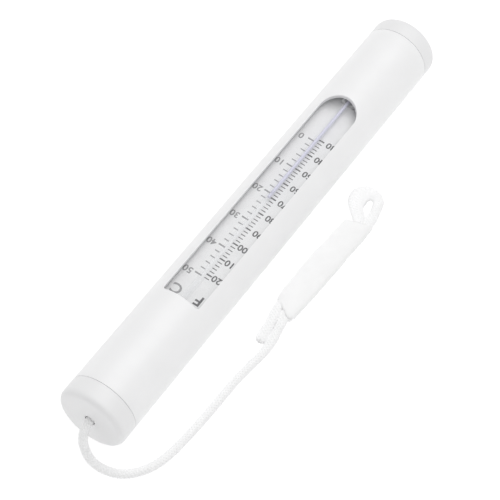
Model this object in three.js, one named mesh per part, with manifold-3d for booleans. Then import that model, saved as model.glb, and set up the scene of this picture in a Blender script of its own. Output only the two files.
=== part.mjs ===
// Floating pool thermometer: a white tube with a window, a push-in cap at each end, a sealed clear liner
// that holds the scale plate and the glass thermometer, and a tie cord whose end is sleeved into an eye.
// Millimetres, +Z up. The tube lies along X with its cord end at -X and its window facing up, and the
// origin is on the surface it lies on, under the middle of the tube.

import * as THREE from 'three';
import { mergeVertices } from 'three/addons/utils/BufferGeometryUtils.js';
import Module from 'manifold-3d';

const wasm = await Module();
wasm.setup();

// Driving dimensions

const LENGTH = 195;
const RADIUS = 12.5;
const WALL = 1.5;
const GAP = 0.3;
const OUTER_STEPS = 64;
const INNER_STEPS = 40;

const HALF = LENGTH / 2;
const BORE_RADIUS = RADIUS - WALL;

// End caps: a domed-edge disc with a short skirt, and a hollow spigot that pushes into the tube
const CAP_SKIRT = 7.3;
const CAP_EDGE = 2.5;
const CAP_FLOOR = 3.5;
const CAP_DEPTH = 15;
const SPIGOT_RADIUS = BORE_RADIUS - GAP;
const SPIGOT_WALL = 2;
const SPIGOT_CHAMFER = 0.6;
const CORD_HOLE_RADIUS = 2.2;

// Window: square at the cord end, round at the bulb end. Stations are distances from the cord end.
const WINDOW_START = 48.5;
const WINDOW_END = 151.1;
const WINDOW_HALF_WIDTH = 6.94;
const WINDOW_CORNER = 0.7;

// Clear liner and its two plugs
const LINER_RADIUS = BORE_RADIUS - GAP;
const LINER_WALL = 0.8;
const LINER_BORE = LINER_RADIUS - LINER_WALL;
const FLANGE_THICKNESS = 1.2;
const PLUG_LENGTH = 6.5;
const PLUG_RADIUS = LINER_BORE - GAP;
const RING_SECTION = 0.5;
const GROOVE_RADIUS = LINER_BORE - RING_SECTION * 2 - GAP * 2;
const GROOVE_WIDTH = 1.8;
const GROOVE_FROM_SHOULDER = 3.6;

// Scale plate, and the two holders that carry it and the glass
const PLATE_TOP = 6.3;
const PLATE_THICKNESS = 1;
const PLATE_HALF_WIDTH = 7.3;
const PLATE_START = 24;
const PLATE_END = 171;
const HOLDER_LENGTH = 6;
const HOLDER_STATIONS = [36, 155.5];
const HOLDER_RADIUS = LINER_BORE - GAP;
const CRADLE_HALF_WIDTH = 2.4;
const CRADLE_TOP = 8.4;

// Glass thermometer
const STEM_HEIGHT = 8.1;
const STEM_RADIUS = 1.3;
const STEM_BORE = 0.7;
const STEM_START = 31;
const BULB_START = 160;
const BULB_END = 171;
const BULB_RADIUS = 1.5;
const BULB_WALL = 0.4;
const BULB_TAPER = 1;
const GLASS_STEPS = 16;

// Scale: degrees Fahrenheit rise towards the cord end
const TOP_DEGREES = 120;
const TOP_DEGREES_STATION = 64;
const STEP_PER_DEGREE = 0.772;
const READING = 72;
const MENISCUS_LENGTH = 2;

// Ballast: a half-round steel slug under the plate at the bulb end
const BALLAST_RADIUS = 9.4;
const BALLAST_TOP = -1.5;
const BALLAST_LENGTH = 17;

// Cord, its stopper inside the cap, and the sleeve that makes the eye at its end
const CORD_RADIUS = 1.5;
const CORD_SAG = 0.4;
const CORD_STEPS = 80;
const CORD_SIDES = 8;
const CORD_INNER_END = 5.4;
const WASHER_HOLE = 1.8;
const WASHER_RADIUS = 5.5;
const WASHER_THICKNESS = 1;
const KNOT_RADIUS = 4;
const KNOT_LENGTH = 7;
const KNOT_BANDS = 8;
const KNOT_LUMP = 0.08;
const SLEEVE_START = [-19.8, -23.07];
const SLEEVE_END = [25.2, -27.25];
const SLEEVE_HEIGHT = 2.45;
const STRAND_SPACING = 3.32;
const STRAND_GAP = 0.3;
const SLEEVE_WALL = 0.5;
const TAIL_END_FLARE = 2.6;
const EYE_END_FLARE = 2.0;
const TAIL_END_SLANT = 2.3;
const EYE_END_SLANT = 1.2;

// The cord's centre line, from the stopper knot out of the cap, down to the surface, along the tube,
// through the sleeve, round the eye and back through the sleeve to its cut tail
const CORD_ROUTE = [
  [-HALF + CORD_INNER_END, 0, 12.1], [-98.2, 0, 12.0], [-100.7, -0.4, 10.9],
  [-102.5, -1.3, 8.6], [-103.5, -2.9, 5.9], [-104.1, -5.1, 3.5],
  [-104.2, -7.9, 2.0], [-103.8, -11.0, 1.55], [-102.7, -14.5, 1.55],
  [-100.5, -17.8, 1.55], [-96.9, -20.8, 1.55], [-92.4, -23.0, 1.55],
  [-86.9, -24.4, 1.55], [-70.0, -25.8, 1.55], [-51.5, -26.3, 1.55],
  [-44.5, -27.0, 1.55], [-36.5, -27.8, 1.55], [-31.0, -27.4, 1.65],
  [-26.0, -26.65, 2.0], [-21.0, -25.65, 2.35], [-15.0, -25.17, 2.45],
  [18.0, -28.24, 2.45], [24.3, -28.8, 2.4], [28.5, -28.75, 1.9],
  [32.0, -28.5, 1.55], [35.2, -28.2, 1.55], [37.8, -27.6, 1.55],
  [39.5, -25.8, 1.55], [39.8, -23.2, 1.55], [38.4, -20.9, 1.55],
  [35.8, -20.0, 1.55], [32.6, -20.8, 1.55], [30.2, -22.3, 1.75],
  [27.9, -24.2, 2.1], [25.0, -25.57, 2.43], [18.0, -24.91, 2.45],
  [1.5, -23.38, 2.45], [-15.0, -21.85, 2.45], [-28.0, -23.55, 1.9],
  [-35.0, -24.55, 1.55],
];

const part = new THREE.Group();

// Shared helpers

// The distance from the cord end, as an X in the part's frame
function station(distance) {
  return distance - HALF;
}

// Keeps only positions, joins equal points and drops triangles that have no area
function welded(geometry) {
  const bare = geometry.clone();
  bare.deleteAttribute('normal');
  bare.deleteAttribute('uv');
  const merged = mergeVertices(bare, 1e-4);
  const kept = [];
  const index = merged.index.array;
  for (let i = 0; i < index.length; i += 3) {
    const [a, b, c] = [index[i], index[i + 1], index[i + 2]];
    if (a !== b && b !== c && c !== a) {
      kept.push(a, b, c);
    }
  }
  merged.setIndex(kept);
  return merged;
}

function toSolid(geometry) {
  const closed = welded(geometry);
  return new wasm.Manifold(new wasm.Mesh({
    numProp: 3,
    vertProperties: new Float32Array(closed.attributes.position.array),
    triVerts: new Uint32Array(closed.index.array),
  }));
}

function toGeometry(solid) {
  const mesh = solid.getMesh();
  const geometry = new THREE.BufferGeometry();
  geometry.setAttribute('position', new THREE.BufferAttribute(new Float32Array(mesh.vertProperties), 3));
  geometry.setIndex([...mesh.triVerts]);
  return geometry;
}

// Turns a [radius, x] profile about the X axis
function turned(profile, steps = OUTER_STEPS) {
  const points = profile.map(([radius, x]) => new THREE.Vector2(radius, x));
  return welded(new THREE.LatheGeometry(points, steps).rotateZ(-Math.PI / 2));
}

// Extrudes a shape drawn in [y, z] along X, from x to x + length
function alongX(shape, x, length, curveSegments = 12) {
  const geometry = new THREE.ExtrudeGeometry(shape, { depth: length, bevelEnabled: false, curveSegments });
  const axes = new THREE.Matrix4().makeBasis(
    new THREE.Vector3(0, 1, 0), new THREE.Vector3(0, 0, 1), new THREE.Vector3(1, 0, 0));
  return welded(geometry.applyMatrix4(axes).translate(x, 0, 0));
}

// A quarter-round or any other stretch of arc, as [radius, x] profile points
function arcPoints(centreRadius, centreX, radius, from, to, steps) {
  const points = [];
  for (let i = 0; i <= steps; i += 1) {
    const angle = from + (to - from) * i / steps;
    points.push([centreRadius + radius * Math.cos(angle), centreX + radius * Math.sin(angle)]);
  }
  return points;
}

function add(name, geometry, material, height = RADIUS) {
  const mesh = new THREE.Mesh(geometry, material);
  mesh.name = name;
  mesh.position.z = height;
  part.add(mesh);
  return mesh;
}

// Materials

function plastic(color, roughness) {
  return new THREE.MeshStandardMaterial({ color, roughness, metalness: 0 });
}

function clear(color, opacity) {
  return new THREE.MeshStandardMaterial({ color, roughness: 0.05, metalness: 0, transparent: true, opacity });
}

function metal(color, roughness) {
  return new THREE.MeshStandardMaterial({ color, roughness, metalness: 1 });
}

// Outer casing

function casingTube() {
  const start = station(CAP_SKIRT + GAP);
  const end = station(LENGTH - CAP_SKIRT - GAP);
  const wall = turned([
    [BORE_RADIUS, start], [RADIUS, start], [RADIUS, end], [BORE_RADIUS, end], [BORE_RADIUS, start],
  ]);
  return toGeometry(toSolid(wall).subtract(toSolid(windowCutter())));
}

function windowCutter() {
  const left = station(WINDOW_START);
  const archCentre = station(WINDOW_END - WINDOW_HALF_WIDTH);
  const side = WINDOW_HALF_WIDTH;
  const corner = WINDOW_CORNER;
  const outline = new THREE.Shape();
  outline.moveTo(left + corner, -side);
  outline.lineTo(archCentre, -side);
  outline.absarc(archCentre, 0, side, -Math.PI / 2, Math.PI / 2, false);
  outline.lineTo(left + corner, side);
  outline.absarc(left + corner, side - corner, corner, Math.PI / 2, Math.PI, false);
  outline.lineTo(left, -side + corner);
  outline.absarc(left + corner, -side + corner, corner, Math.PI, Math.PI * 1.5, false);
  const cutter = new THREE.ExtrudeGeometry(outline, {
    depth: RADIUS, bevelEnabled: false, curveSegments: 20,
  });
  return cutter.translate(0, 0, RADIUS / 4);
}

// A cap's [radius, depth] profile from its outer face inwards, round the spigot and back to the middle
function capProfile(holeRadius) {
  return [
    [holeRadius, 0],
    ...arcPoints(RADIUS - CAP_EDGE, CAP_EDGE, CAP_EDGE, -Math.PI / 2, 0, 6),
    [RADIUS, CAP_SKIRT],
    [SPIGOT_RADIUS, CAP_SKIRT],
    [SPIGOT_RADIUS, CAP_DEPTH - SPIGOT_CHAMFER],
    [SPIGOT_RADIUS - SPIGOT_CHAMFER, CAP_DEPTH],
    [SPIGOT_RADIUS - SPIGOT_WALL, CAP_DEPTH],
    [SPIGOT_RADIUS - SPIGOT_WALL, CAP_FLOOR],
    [holeRadius, CAP_FLOOR],
  ];
}

function cordEndCap() {
  const profile = capProfile(CORD_HOLE_RADIUS);
  profile.push(profile[0]);
  return turned(profile.map(([radius, depth]) => [radius, station(depth)]));
}

function bulbEndCap() {
  const profile = capProfile(0).reverse();
  return turned(profile.map(([radius, depth]) => [radius, station(LENGTH - depth)]));
}

// Sealed inner unit

function clearLiner() {
  const start = station(CAP_DEPTH + GAP + FLANGE_THICKNESS + GAP);
  const end = -start;
  return turned([
    [LINER_BORE, start], [LINER_RADIUS, start], [LINER_RADIUS, end], [LINER_BORE, end], [LINER_BORE, start],
  ]);
}

// A flanged plug with a groove for its sealing ring. side is -1 at the cord end and 1 at the bulb end.
function linerPlug(side) {
  const face = CAP_DEPTH + GAP;
  const shoulder = face + FLANGE_THICKNESS;
  const tip = shoulder + PLUG_LENGTH;
  const groove = grooveStation();
  const profile = [
    [0, face],
    [LINER_RADIUS, face],
    [LINER_RADIUS, shoulder],
    [PLUG_RADIUS, shoulder],
    [PLUG_RADIUS, groove - GROOVE_WIDTH / 2],
    [GROOVE_RADIUS, groove - GROOVE_WIDTH / 2],
    [GROOVE_RADIUS, groove + GROOVE_WIDTH / 2],
    [PLUG_RADIUS, groove + GROOVE_WIDTH / 2],
    [PLUG_RADIUS, tip],
    [0, tip],
  ];
  if (side < 0) {
    return turned(profile.map(([radius, depth]) => [radius, station(depth)]), INNER_STEPS);
  }
  return turned(profile.reverse().map(([radius, depth]) => [radius, station(LENGTH - depth)]), INNER_STEPS);
}

function grooveStation() {
  return CAP_DEPTH + GAP + FLANGE_THICKNESS + GROOVE_FROM_SHOULDER;
}

function sealingRing(side) {
  const middle = (GROOVE_RADIUS + LINER_BORE) / 2;
  const x = side * (HALF - grooveStation());
  return turned(arcPoints(middle, x, RING_SECTION, 0, Math.PI * 2, 8), INNER_STEPS);
}

// The plate has a slot for each holder's cradle
function scalePlate() {
  const middle = PLATE_TOP - PLATE_THICKNESS / 2;
  const length = PLATE_END - PLATE_START;
  const blank = new THREE.BoxGeometry(length, PLATE_HALF_WIDTH * 2, PLATE_THICKNESS);
  blank.translate(station(PLATE_START + length / 2), 0, middle);
  let plate = toSolid(blank);
  for (const distance of HOLDER_STATIONS) {
    const slot = new THREE.BoxGeometry(
      HOLDER_LENGTH + GAP * 2, (CRADLE_HALF_WIDTH + GAP) * 2, PLATE_THICKNESS * 2);
    plate = plate.subtract(toSolid(slot.translate(station(distance), 0, middle)));
  }
  return toGeometry(plate);
}

// A D-shaped block under the plate, with a cradle that rises through it and holds the glass
function holder(distance) {
  const shelf = PLATE_TOP - PLATE_THICKNESS - GAP;
  const shelfAngle = Math.asin(shelf / HOLDER_RADIUS);
  const grip = STEM_RADIUS + GAP;
  const lip = Math.sqrt(grip ** 2 - (CRADLE_TOP - STEM_HEIGHT) ** 2);
  const lipAngle = Math.atan2(CRADLE_TOP - STEM_HEIGHT, lip);
  const outline = new THREE.Shape();
  outline.absarc(0, 0, HOLDER_RADIUS, Math.PI - shelfAngle, Math.PI * 2 + shelfAngle, false);
  outline.lineTo(CRADLE_HALF_WIDTH, shelf);
  outline.lineTo(CRADLE_HALF_WIDTH, CRADLE_TOP);
  outline.lineTo(lip, CRADLE_TOP);
  outline.absarc(0, STEM_HEIGHT, grip, lipAngle, -Math.PI - lipAngle, true);
  outline.lineTo(-CRADLE_HALF_WIDTH, CRADLE_TOP);
  outline.lineTo(-CRADLE_HALF_WIDTH, shelf);
  return alongX(outline, station(distance) - HOLDER_LENGTH / 2, HOLDER_LENGTH, 24);
}

// Glass tube with a wider bulb. Its bore is left open at the top end.
function glassStem() {
  const tip = station(STEM_START);
  const bulb = station(BULB_START);
  const end = station(BULB_END);
  const cavity = BULB_RADIUS - BULB_WALL;
  return turned([
    [STEM_BORE, tip],
    [STEM_RADIUS, tip],
    [STEM_RADIUS, bulb - BULB_TAPER],
    [BULB_RADIUS, bulb],
    [BULB_RADIUS, end - BULB_TAPER],
    [BULB_RADIUS / 2, end],
    [0, end],
    [0, end - BULB_WALL],
    [cavity, end - BULB_TAPER - BULB_WALL],
    [cavity, bulb],
    [STEM_BORE, bulb - BULB_TAPER],
    [STEM_BORE, tip],
  ], GLASS_STEPS);
}

function readingStation() {
  return TOP_DEGREES_STATION + (TOP_DEGREES - READING) * STEP_PER_DEGREE;
}

function rod(from, to, radius) {
  return turned([[0, from], [radius, from], [radius, to], [0, to]], GLASS_STEPS);
}

function spiritBulb() {
  const near = station(BULB_START + GAP);
  const far = station(BULB_END - BULB_TAPER - BULB_WALL - GAP);
  return rod(near, far, BULB_RADIUS - BULB_WALL - GAP);
}

function spiritColumn() {
  return rod(station(readingStation() + MENISCUS_LENGTH + GAP), station(BULB_START), STEM_BORE - GAP);
}

function spiritMeniscus() {
  return rod(station(readingStation()), station(readingStation() + MENISCUS_LENGTH), STEM_BORE - GAP);
}

function ballastSlug() {
  const chord = Math.asin(BALLAST_TOP / BALLAST_RADIUS);
  const outline = new THREE.Shape();
  outline.absarc(0, 0, BALLAST_RADIUS, Math.PI - chord, Math.PI * 2 + chord, false);
  const end = HOLDER_STATIONS[1] - HOLDER_LENGTH / 2 - GAP;
  return alongX(outline, station(end - BALLAST_LENGTH), BALLAST_LENGTH, 24);
}

// Cord and what is on it

function cordCurve() {
  const points = CORD_ROUTE.map(([x, y, z]) => new THREE.Vector3(x, y, z));
  return new THREE.CatmullRomCurve3(points, false, 'centripetal');
}

function cord() {
  const section = new THREE.Shape();
  section.absarc(0, 0, CORD_RADIUS, 0, Math.PI * 2, false);
  return welded(new THREE.ExtrudeGeometry(section, {
    extrudePath: cordCurve(), steps: CORD_STEPS, curveSegments: CORD_SIDES / 2, bevelEnabled: false,
  }));
}

function cordWasher() {
  const near = station(CAP_FLOOR + GAP);
  const far = near + WASHER_THICKNESS;
  return turned([
    [WASHER_HOLE, near], [WASHER_RADIUS, near], [WASHER_RADIUS, far], [WASHER_HOLE, far], [WASHER_HOLE, near],
  ], 32);
}

function stopKnot() {
  const near = station(CORD_INNER_END + GAP);
  const profile = [];
  for (let i = 0; i <= KNOT_BANDS; i += 1) {
    const angle = Math.PI * i / KNOT_BANDS;
    const lump = 1 + KNOT_LUMP * Math.cos(angle * 6);
    profile.push([KNOT_RADIUS * Math.sin(angle) * lump, near + KNOT_LENGTH * (1 - Math.cos(angle)) / 2]);
  }
  profile[0][0] = 0;
  profile[KNOT_BANDS][0] = 0;
  return turned(profile, 16);
}

// A racetrack outline of two half circles, drawn in [across, up]
function racetrack(shape, halfSpacing, radius) {
  shape.absarc(halfSpacing, 0, radius, -Math.PI / 2, Math.PI / 2, false);
  shape.absarc(-halfSpacing, 0, radius, Math.PI / 2, Math.PI * 1.5, false);
  return shape;
}

// A flat tube over both strands, cut on a slant at both ends. Its tail end is flared on the side away from
// the tail, and its eye end on the other side.
function loopSleeve() {
  const bore = CORD_RADIUS + STRAND_GAP;
  const halfWidth = STRAND_SPACING / 2 + bore + SLEEVE_WALL;
  const outline = racetrack(new THREE.Shape(), STRAND_SPACING / 2, bore + SLEEVE_WALL);
  outline.holes.push(racetrack(new THREE.Path(), STRAND_SPACING / 2, bore));
  const length = Math.hypot(SLEEVE_END[0] - SLEEVE_START[0], SLEEVE_END[1] - SLEEVE_START[1]);
  const tube = alongX(outline, 0, length, 8);
  const { position } = tube.attributes;
  for (let i = 0; i < position.count; i += 1) {
    const y = position.getY(i);
    const atEye = position.getX(i) > length / 2;
    const slant = atEye ? -EYE_END_SLANT : TAIL_END_SLANT;
    position.setX(i, position.getX(i) + slant * y / halfWidth);
    if (atEye && y > 0) {
      position.setY(i, y + EYE_END_FLARE);
    }
    if (!atEye && y < 0) {
      position.setY(i, y - TAIL_END_FLARE);
    }
  }
  return tube;
}

function addSleeve(material) {
  const mesh = add('loop_sleeve', loopSleeve(), material, SLEEVE_HEIGHT);
  mesh.position.x = SLEEVE_START[0];
  mesh.position.y = SLEEVE_START[1];
  mesh.rotation.z = Math.atan2(SLEEVE_END[1] - SLEEVE_START[1], SLEEVE_END[0] - SLEEVE_START[0]);
}

// The whole thermometer

const white = () => plastic(0xf2f3f3, 0.38);
const holderPlastic = () => plastic(0xd9dadb, 0.6);
const rubber = () => plastic(0x26272a, 0.8);
const glass = () => clear(0xeef4f6, 0.3);
const spirit = () => plastic(0x6f6bd6, 0.25);

add('casing_tube', casingTube(), white());
add('cord_end_cap', cordEndCap(), white());
add('bulb_end_cap', bulbEndCap(), white());
add('clear_liner', clearLiner(), clear(0xf4f8fa, 0.18));
add('cord_end_plug', linerPlug(-1), holderPlastic());
add('bulb_end_plug', linerPlug(1), holderPlastic());
add('cord_end_seal_ring', sealingRing(-1), rubber());
add('bulb_end_seal_ring', sealingRing(1), rubber());
add('scale_plate', scalePlate(), plastic(0xe9eaec, 0.5));
add('cord_end_holder', holder(HOLDER_STATIONS[0]), holderPlastic());
add('bulb_end_holder', holder(HOLDER_STATIONS[1]), holderPlastic());
add('glass_stem', glassStem(), glass(), RADIUS + STEM_HEIGHT);
add('spirit_bulb_fill', spiritBulb(), spirit(), RADIUS + STEM_HEIGHT);
add('spirit_column', spiritColumn(), spirit(), RADIUS + STEM_HEIGHT);
add('spirit_meniscus', spiritMeniscus(), spirit(), RADIUS + STEM_HEIGHT);
add('ballast_slug', ballastSlug(), metal(0x8d9095, 0.45));
add('cord', cord(), plastic(0xf4f4f2, 0.85), 0);
add('cord_washer', cordWasher(), metal(0xb9bcc0, 0.35), RADIUS - CORD_SAG);
add('cord_stop_knot', stopKnot(), plastic(0xf4f4f2, 0.85), RADIUS - CORD_SAG);
addSleeve(plastic(0xf1f1f0, 0.45));

export default part;
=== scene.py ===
"""The looks of a floating pool thermometer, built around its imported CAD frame.

Metres, +Z up. The tube lies along X on the floor, with its cord end at -X and its window facing up.
The camera and the cord come first, then the materials, the casing with its caps, the sealed unit inside it,
the scale, the cord's sleeve and the stage.
"""

import math

import bmesh
import bpy
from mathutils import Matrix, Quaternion, Vector


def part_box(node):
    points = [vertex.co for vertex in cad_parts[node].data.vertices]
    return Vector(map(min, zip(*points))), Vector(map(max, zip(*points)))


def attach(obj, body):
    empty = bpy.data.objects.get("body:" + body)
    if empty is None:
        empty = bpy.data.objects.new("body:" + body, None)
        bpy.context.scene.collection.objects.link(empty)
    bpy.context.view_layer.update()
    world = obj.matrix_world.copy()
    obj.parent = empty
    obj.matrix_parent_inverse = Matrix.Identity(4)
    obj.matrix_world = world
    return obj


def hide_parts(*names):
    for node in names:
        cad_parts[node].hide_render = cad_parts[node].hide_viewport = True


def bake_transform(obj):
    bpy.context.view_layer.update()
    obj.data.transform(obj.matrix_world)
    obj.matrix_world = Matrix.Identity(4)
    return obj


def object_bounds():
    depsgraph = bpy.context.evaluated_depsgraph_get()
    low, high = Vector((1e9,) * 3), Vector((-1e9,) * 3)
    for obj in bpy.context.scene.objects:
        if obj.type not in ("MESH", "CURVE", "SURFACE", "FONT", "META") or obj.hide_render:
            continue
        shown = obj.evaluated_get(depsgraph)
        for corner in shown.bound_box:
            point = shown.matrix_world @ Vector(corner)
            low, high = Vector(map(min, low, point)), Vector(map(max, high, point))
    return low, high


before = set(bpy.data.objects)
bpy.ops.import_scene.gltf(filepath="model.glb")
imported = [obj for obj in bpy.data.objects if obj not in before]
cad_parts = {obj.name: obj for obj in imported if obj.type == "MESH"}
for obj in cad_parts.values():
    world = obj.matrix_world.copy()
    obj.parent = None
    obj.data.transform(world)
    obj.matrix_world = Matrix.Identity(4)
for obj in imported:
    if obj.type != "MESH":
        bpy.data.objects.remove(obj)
cad_low, cad_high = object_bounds()

MM = 0.001

# Sizes that the CAD nodes give

casing_low, casing_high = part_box("casing_tube")
liner_low, liner_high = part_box("clear_liner")
plate_low, plate_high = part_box("scale_plate")
glass_low, glass_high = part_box("glass_stem")
column_low, column_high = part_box("spirit_column")
meniscus_low, meniscus_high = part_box("spirit_meniscus")
fill_low, fill_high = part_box("spirit_bulb_fill")
cord_cap_low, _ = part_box("cord_end_cap")
_, bulb_cap_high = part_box("bulb_end_cap")

AXIS_HEIGHT = (casing_low.z + casing_high.z) / 2
RADIUS = (casing_high.z - casing_low.z) / 2
TUBE_WALL = 1.5 * MM
BORE_RADIUS = RADIUS - TUBE_WALL
STEM_HEIGHT = (column_low.z + column_high.z) / 2

# Places along the tube are measured from the face of the cord cap
CORD_END = cord_cap_low.x

# Window: square at the cord end and round at the bulb end
WINDOW_START = CORD_END + 48.5 * MM
WINDOW_END = CORD_END + 151.1 * MM
WINDOW_HALF_WIDTH = 6.94 * MM
WINDOW_CORNER = 1.1 * MM
ARCH_CENTRE = WINDOW_END - WINDOW_HALF_WIDTH

# Scale: degrees Fahrenheit rise towards the cord end
TOP_DEGREES = 120
BOTTOM_DEGREES = 30
TOP_DEGREES_X = CORD_END + 64 * MM
STEP_PER_DEGREE = 0.772 * MM

# Cord: its real size, how high it leaves the cap, and the route that its CAD solid follows
CORD_DIAMETER = 3.0 * MM
CORD_ROUTE = [
    (-0.0921, 0, 0.0121), (-0.0982, 0, 0.012), (-0.1007, -0.0004, 0.0109),
    (-0.1025, -0.0013, 0.0086), (-0.1035, -0.0029, 0.0059), (-0.1041, -0.0051, 0.0035),
    (-0.1042, -0.0079, 0.002), (-0.1038, -0.011, 0.00155), (-0.1027, -0.0145, 0.00155),
    (-0.1005, -0.0178, 0.00155), (-0.0969, -0.0208, 0.00155), (-0.0924, -0.023, 0.00155),
    (-0.0869, -0.0244, 0.00155), (-0.07, -0.0258, 0.00155), (-0.0515, -0.0263, 0.00155),
    (-0.0445, -0.027, 0.00155), (-0.0365, -0.0278, 0.00155), (-0.031, -0.0274, 0.00165),
    (-0.026, -0.02665, 0.002), (-0.021, -0.02565, 0.00235), (-0.015, -0.02517, 0.00245),
    (0.018, -0.02824, 0.00245), (0.0243, -0.0288, 0.0024), (0.0285, -0.02875, 0.0019),
    (0.032, -0.0285, 0.00155), (0.0352, -0.0282, 0.00155), (0.0378, -0.0276, 0.00155),
    (0.0395, -0.0258, 0.00155), (0.0398, -0.0232, 0.00155), (0.0384, -0.0209, 0.00155),
    (0.0358, -0.02, 0.00155), (0.0326, -0.0208, 0.00155), (0.0302, -0.0223, 0.00175),
    (0.0279, -0.0242, 0.0021), (0.025, -0.02557, 0.00243), (0.018, -0.02491, 0.00245),
    (0.0015, -0.02338, 0.00245), (-0.015, -0.02185, 0.00245), (-0.028, -0.02355, 0.0019),
    (-0.035, -0.02455, 0.00155),
]


# Camera

CAMERA_PLACE = Vector((-0.3221, -0.1464, 0.5229))
CAMERA_AIM = Vector((-0.0131, -0.0046, 0.0125))
CAMERA_ROLL = math.radians(-10.89)
CAMERA_LENS = 130.96
SENSOR_WIDTH = 36


def make_camera():
    """A long lens beyond the cord end that looks down at the tube, turned a little about its own axis."""
    data = bpy.data.cameras.new("camera")
    data.lens = CAMERA_LENS
    data.sensor_width = SENSOR_WIDTH
    data.clip_start = 0.01
    data.clip_end = 20
    camera = bpy.data.objects.new("camera", data)
    bpy.context.scene.collection.objects.link(camera)
    ahead = CAMERA_AIM - CAMERA_PLACE
    camera.location = CAMERA_PLACE
    camera.rotation_mode = "QUATERNION"
    camera.rotation_quaternion = Quaternion(ahead, CAMERA_ROLL) @ ahead.to_track_quat("-Z", "Y")
    bpy.context.scene.camera = camera


# Mesh helpers


def link(name, bm, material, smooth=True):
    """Turns a bmesh into a named object with one material, its faces pointing outwards."""
    bmesh.ops.recalc_face_normals(bm, faces=bm.faces)
    mesh = bpy.data.meshes.new(name)
    bm.to_mesh(mesh)
    bm.free()
    mesh.materials.append(material)
    if smooth:
        mesh.shade_smooth()
    else:
        mesh.shade_flat()
    made = bpy.data.objects.new(name, mesh)
    bpy.context.scene.collection.objects.link(made)
    return made


def bridge(bm, first, second):
    """Quads between two rings of the same length."""
    for i in range(len(first)):
        j = (i + 1) % len(first)
        bm.faces.new((first[i], first[j], second[j], second[i]))


def bridge_all(bm, rings):
    """Quads from each ring to the next."""
    for first, second in zip(rings, rings[1:]):
        bridge(bm, first, second)


def vertex_round(bm, x, radius, angle, height=AXIS_HEIGHT):
    """A vertex at a radius and an angle round a line along X. Angle 0 is straight up."""
    return bm.verts.new((x, radius * math.sin(angle), height + radius * math.cos(angle)))


# A fillet takes just under half of a side at most, so that two fillets on one side don't meet
SIDE_SHARE = 0.49


def rounded(corners, steps):
    """A (radius, x) profile whose corners are rounded by each corner's own fillet."""
    points = []
    for i, (radius, x, fillet) in enumerate(corners):
        here = Vector((radius, x))
        if fillet == 0 or i in (0, len(corners) - 1):
            points.append(here)
            continue
        before = Vector(corners[i - 1][:2]) - here
        after = Vector(corners[i + 1][:2]) - here
        half_angle = before.angle(after) / 2
        reach = min(fillet / math.tan(half_angle), before.length * SIDE_SHARE, after.length * SIDE_SHARE)
        start = here + before.normalized() * reach
        end = here + after.normalized() * reach
        for k in range(steps + 1):
            t = k / steps
            points.append(start * (1 - t) ** 2 + here * 2 * t * (1 - t) + end * t ** 2)
    return points


def revolve(name, corners, material, steps, height=AXIS_HEIGHT, fillet_steps=4):
    """Turns a rounded (radius, x) profile about the X axis. A profile that starts off the axis is a ring."""
    bm = bmesh.new()
    rings = []
    for radius, x in rounded(corners, fillet_steps):
        if radius == 0:
            rings.append([bm.verts.new((x, 0, height))])
        else:
            angles = [2 * math.pi * i / steps for i in range(steps)]
            rings.append([vertex_round(bm, x, radius, angle, height) for angle in angles])
    pairs = list(zip(rings, rings[1:]))
    if len(rings[0]) > 1 and len(rings[-1]) > 1:
        pairs.append((rings[-1], rings[0]))
    for first, second in pairs:
        if len(first) == 1 or len(second) == 1:
            tip, ring = (first[0], second) if len(first) == 1 else (second[0], first)
            for i in range(steps):
                bm.faces.new((tip, ring[i], ring[(i + 1) % steps]))
        else:
            bridge(bm, first, second)
    return link(name, bm, material)


# Cord


def curve_through(points, per_span=12):
    """Points along a centripetal Catmull-Rom curve through the given ones."""
    ends = [points[0] * 2 - points[1]] + points + [points[-1] * 2 - points[-2]]
    fine = []
    for p0, p1, p2, p3 in zip(ends, ends[1:], ends[2:], ends[3:]):
        t1 = (p1 - p0).length ** 0.5
        t2 = t1 + (p2 - p1).length ** 0.5
        t3 = t2 + (p3 - p2).length ** 0.5
        for k in range(per_span):
            t = t1 + (t2 - t1) * k / per_span
            a1 = p0.lerp(p1, t / t1)
            a2 = p1.lerp(p2, (t - t1) / (t2 - t1))
            a3 = p2.lerp(p3, (t - t2) / (t3 - t2))
            b1 = a1.lerp(a2, t / t2)
            b2 = a2.lerp(a3, (t - t1) / (t3 - t1))
            fine.append(b1.lerp(b2, (t - t1) / (t2 - t1)))
    fine.append(points[-1])
    return fine


def evenly(points, spacing):
    """The same line with its points a fixed distance apart, and that distance."""
    total = sum((b - a).length for a, b in zip(points, points[1:]))
    count = round(total / spacing)
    step = total / count
    spaced = [points[0]]
    travelled = 0.0
    for a, b in zip(points, points[1:]):
        span = (b - a).length
        while len(spaced) < count and travelled + span >= step * len(spaced):
            spaced.append(a.lerp(b, (step * len(spaced) - travelled) / span))
        travelled += span
    spaced.append(points[-1])
    return spaced, step


def frames_along(points):
    """At each point: the direction ahead, the level sideways direction and the one square to both."""
    frames = []
    for i in range(len(points)):
        ahead = (points[min(i + 1, len(points) - 1)] - points[max(i - 1, 0)]).normalized()
        side = Vector((0, 0, 1)).cross(ahead).normalized()
        frames.append((ahead, side, ahead.cross(side)))
    return frames


STRANDS_EACH_WAY = 6
BRAID_PITCH = 6.9 * MM
STRAND_WIDTH = 0.96 * MM
STRAND_THICKNESS = 0.46 * MM
STRAND_WEAVE = 0.10 * MM
STRAND_SIDES = 8
CORD_STEP = 0.3 * MM
CORE_DEPTH = 0.27 * MM
CORE_SIDES = 12
CORE_SPACING = 3

# The eye's middle line, from its neck to its far bend
EYE_ROOT = Vector((0.0245, -0.0272, 0.00155))
EYE_TIP = Vector((0.0355, -0.0240, 0.00155))

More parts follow.
